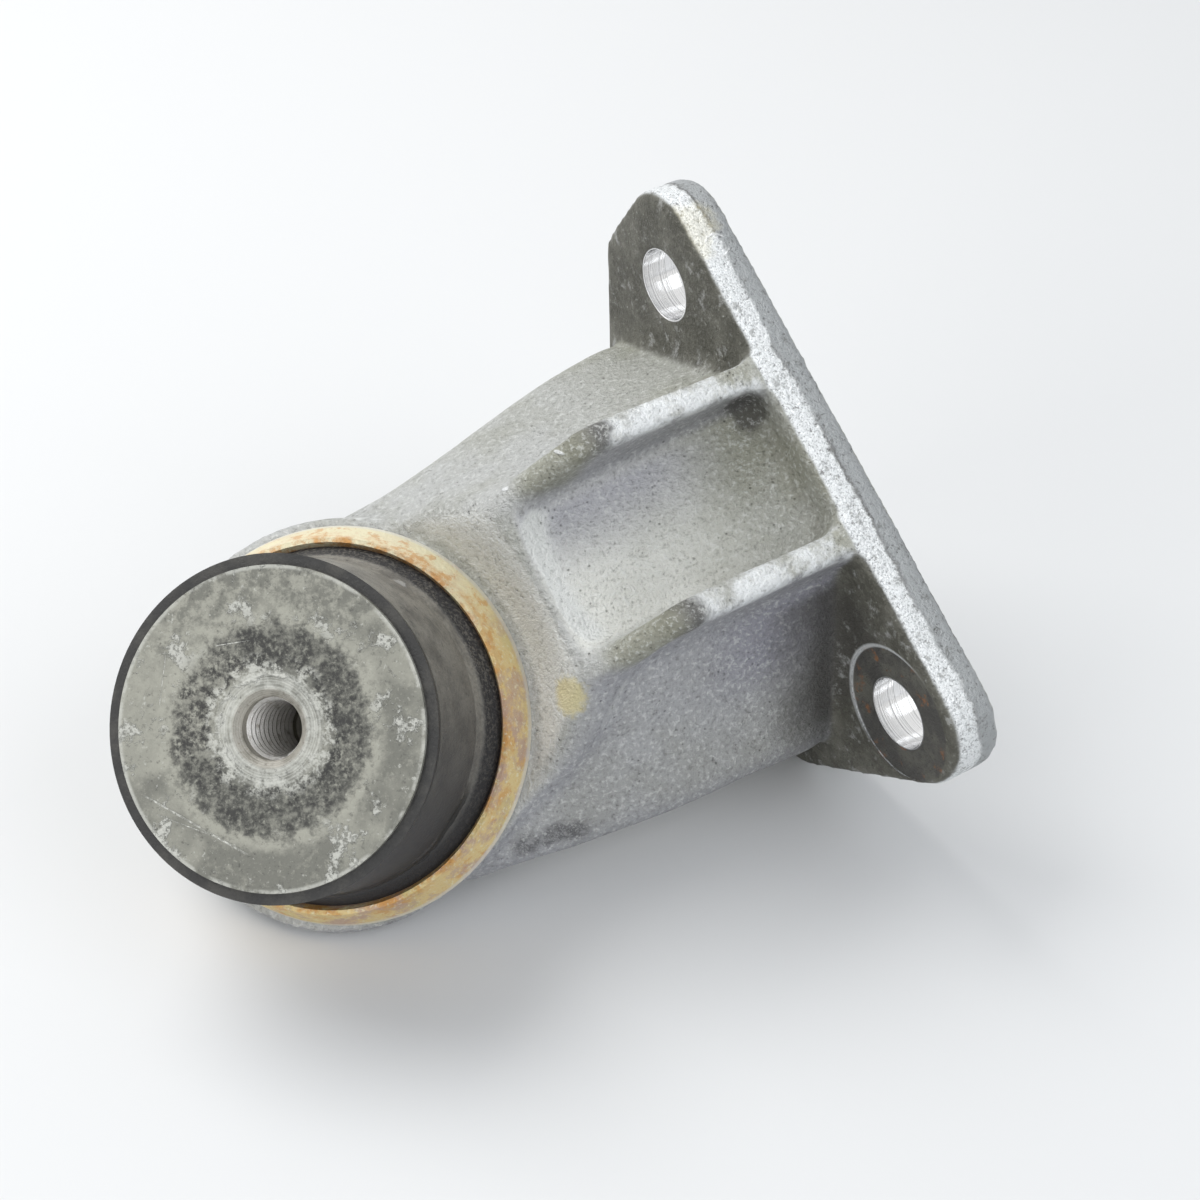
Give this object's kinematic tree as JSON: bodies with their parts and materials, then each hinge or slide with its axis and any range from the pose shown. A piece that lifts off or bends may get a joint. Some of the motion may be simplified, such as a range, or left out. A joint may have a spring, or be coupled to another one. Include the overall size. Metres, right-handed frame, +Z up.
{
  "type": "engine mount",
  "caption": "Cast arm with a three-hole mounting flange at one end and a rubber buffer with a tapped steel disc, held in a steel sleeve, at the other.",
  "frame": {"origin": "centre of the footprint box on the surface that the part lies on", "axes": "+Z up from the surface the part lies on, +X along the part's greatest length towards the flange"},
  "size_m": [0.1462, 0.1184, 0.0996],
  "materials": {
    "casting": "as cast, dull",
    "sleeve_steel": "yellow zinc plate, worn",
    "rubber": "satin, moulded",
    "disc_steel": "thin grey-green coat, stained"
  },
  "bodies": {
    "root": {"bracket": "casting", "outer_sleeve": "sleeve_steel", "rubber_buffer": "rubber", "threaded_insert": "disc_steel"}
  },
  "joints": []
}
